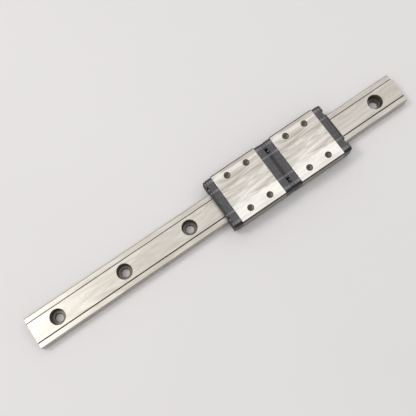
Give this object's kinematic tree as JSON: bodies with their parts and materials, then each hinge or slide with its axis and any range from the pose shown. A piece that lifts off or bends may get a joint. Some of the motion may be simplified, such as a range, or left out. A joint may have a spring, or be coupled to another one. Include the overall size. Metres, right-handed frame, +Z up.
{
  "type": "linear guide carriage",
  "caption": "Wide miniature linear guide: recirculating-ball carriages with end seals, butted together on one flat counterbored rail, along which each slides.",
  "frame": {"origin": "middle of the rail's underside, half way along it", "axes": "+X along the rail, towards the end that the carriages are nearer; +Y across the rail; +Z up, from the rail's underside to the carriages' tops"},
  "size_m": [0.23, 0.03, 0.012],
  "materials": {
    "rail_steel": "ground",
    "carriage_steel": "ground",
    "ball_steel": "polished",
    "screw_steel": "dark",
    "seal_core_steel": "blackened",
    "end_plate_resin": "fine moulded texture",
    "guide_resin": "smooth moulded",
    "wiper_rubber": "matt"
  },
  "bodies": {
    "rail": {"rail": "rail_steel"},
    "left_carriage": {"left_block": "carriage_steel", "left_end_plate_head": "end_plate_resin", "left_end_plate_tail": "end_plate_resin", "left_seal_core_head": "seal_core_steel", "left_seal_core_tail": "seal_core_steel", "left_wiper_seal_head": "wiper_rubber", "left_wiper_seal_tail": "wiper_rubber", "left_return_guide_head_near": "guide_resin", "left_screw_head_near": "screw_steel", "left_return_guide_head_far": "guide_resin", "left_screw_head_far": "screw_steel", "left_return_guide_tail_near": "guide_resin", "left_screw_tail_near": "screw_steel", "left_return_guide_tail_far": "guide_resin", "left_screw_tail_far": "screw_steel", "left_ball_retainer_near": "guide_resin", "left_ball_chain_near_upper": "ball_steel", "left_ball_chain_near_lower": "ball_steel", "left_ball_retainer_far": "guide_resin", "left_ball_chain_far_upper": "ball_steel", "left_ball_chain_far_lower": "ball_steel"},
    "right_carriage": {"right_block": "carriage_steel", "right_end_plate_head": "end_plate_resin", "right_end_plate_tail": "end_plate_resin", "right_seal_core_head": "seal_core_steel", "right_seal_core_tail": "seal_core_steel", "right_wiper_seal_head": "wiper_rubber", "right_wiper_seal_tail": "wiper_rubber", "right_return_guide_head_near": "guide_resin", "right_screw_head_near": "screw_steel", "right_return_guide_head_far": "guide_resin", "right_screw_head_far": "screw_steel", "right_return_guide_tail_near": "guide_resin", "right_screw_tail_near": "screw_steel", "right_return_guide_tail_far": "guide_resin", "right_screw_tail_far": "screw_steel", "right_ball_retainer_near": "guide_resin", "right_ball_chain_near_upper": "ball_steel", "right_ball_chain_near_lower": "ball_steel", "right_ball_retainer_far": "guide_resin", "right_ball_chain_far_upper": "ball_steel", "right_ball_chain_far_lower": "ball_steel"}
  },
  "joints": [
    {"name": "left_carriage_slide", "type": "slide", "parent": "rail", "child": "left_carriage", "axis": [1, 0, 0], "range_m": [-0.113, 0]},
    {"name": "right_carriage_slide", "type": "slide", "parent": "rail", "child": "right_carriage", "axis": [1, 0, 0], "range_m": [0, 0.042]}
  ]
}
